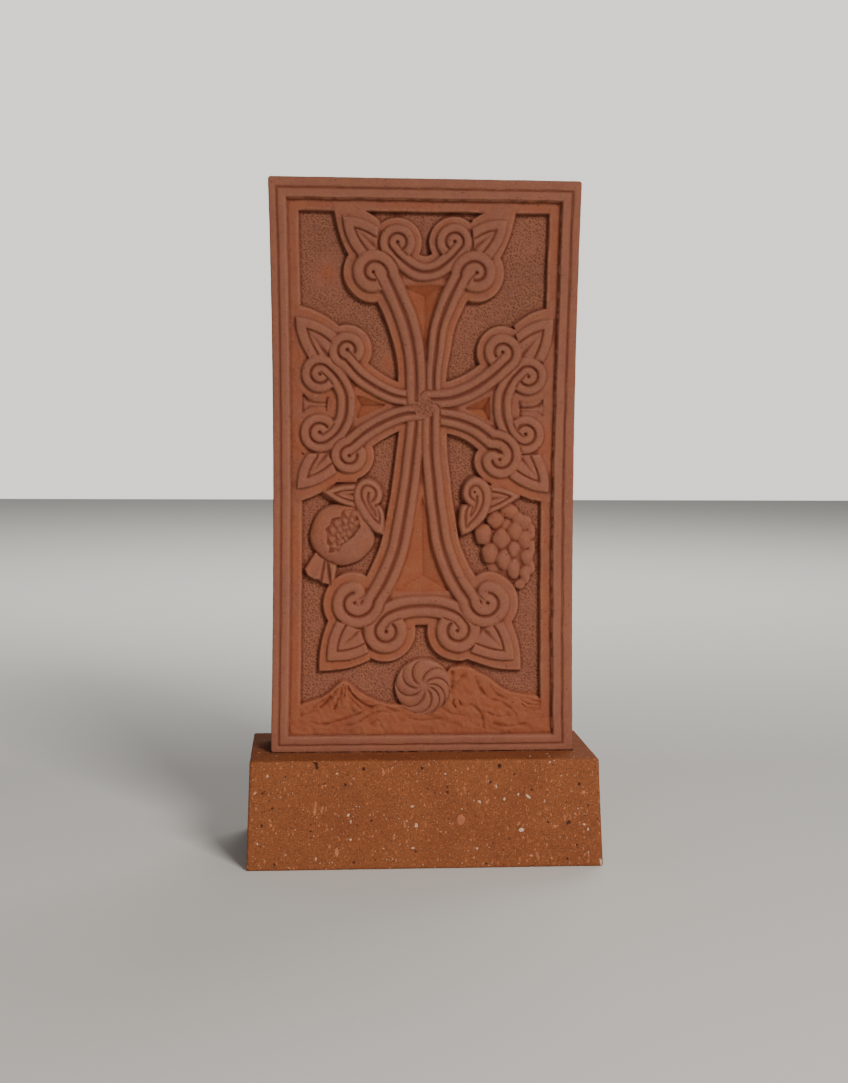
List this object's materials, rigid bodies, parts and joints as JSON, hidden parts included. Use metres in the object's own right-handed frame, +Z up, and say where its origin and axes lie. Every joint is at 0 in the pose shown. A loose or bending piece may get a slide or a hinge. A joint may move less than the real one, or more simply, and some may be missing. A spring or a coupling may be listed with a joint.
{
  "type": "khachkar cross stone",
  "caption": "Small upright stone slab with a carved cross, scrolls, fruit, disc and hills in relief, standing on a plain stone block.",
  "frame": {"origin": "centre of the block's underside", "axes": "+Z up the slab, -Y out of the carved face, +X to the right of someone who looks at the carved face"},
  "size_m": [0.1482, 0.072, 0.2847],
  "materials": {
    "slab": "dull carved tuff, dusky red-brown",
    "base": "dull sawn tuff, orange-brown with dark pits and pale grains"
  },
  "bodies": {
    "root": {"slab": "slab", "base": "base"}
  },
  "joints": []
}
